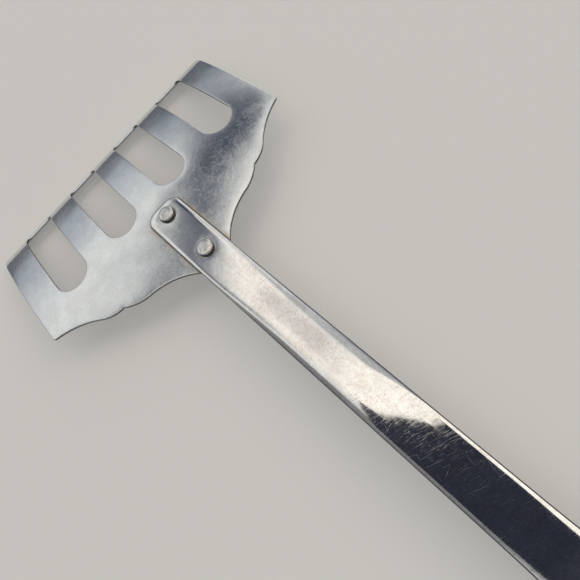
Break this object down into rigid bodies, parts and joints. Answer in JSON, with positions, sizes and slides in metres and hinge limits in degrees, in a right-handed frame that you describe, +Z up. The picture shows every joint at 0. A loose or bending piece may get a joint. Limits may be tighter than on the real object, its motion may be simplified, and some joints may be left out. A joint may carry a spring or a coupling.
{
  "type": "grill spatula",
  "caption": "wide slotted pressed-steel spatula head riveted under a long channel-section handle with a hanging hole",
  "frame": {"origin": "on the rest plane under the middle of the bounding box", "axes": "+X along the handle towards the head's front lip, +Z up out of the head's top face, the part mirror-symmetric in Y"},
  "size_m": [0.4, 0.116, 0.0149],
  "materials": {
    "head_steel": "satin, softly clouded",
    "handle_steel": "polished, finely scratched",
    "rivet_steel": "hammered, dull polish"
  },
  "bodies": {
    "root": {"head": "head_steel", "handle": "handle_steel", "rivet_front": "rivet_steel", "rivet_rear": "rivet_steel"}
  },
  "joints": []
}
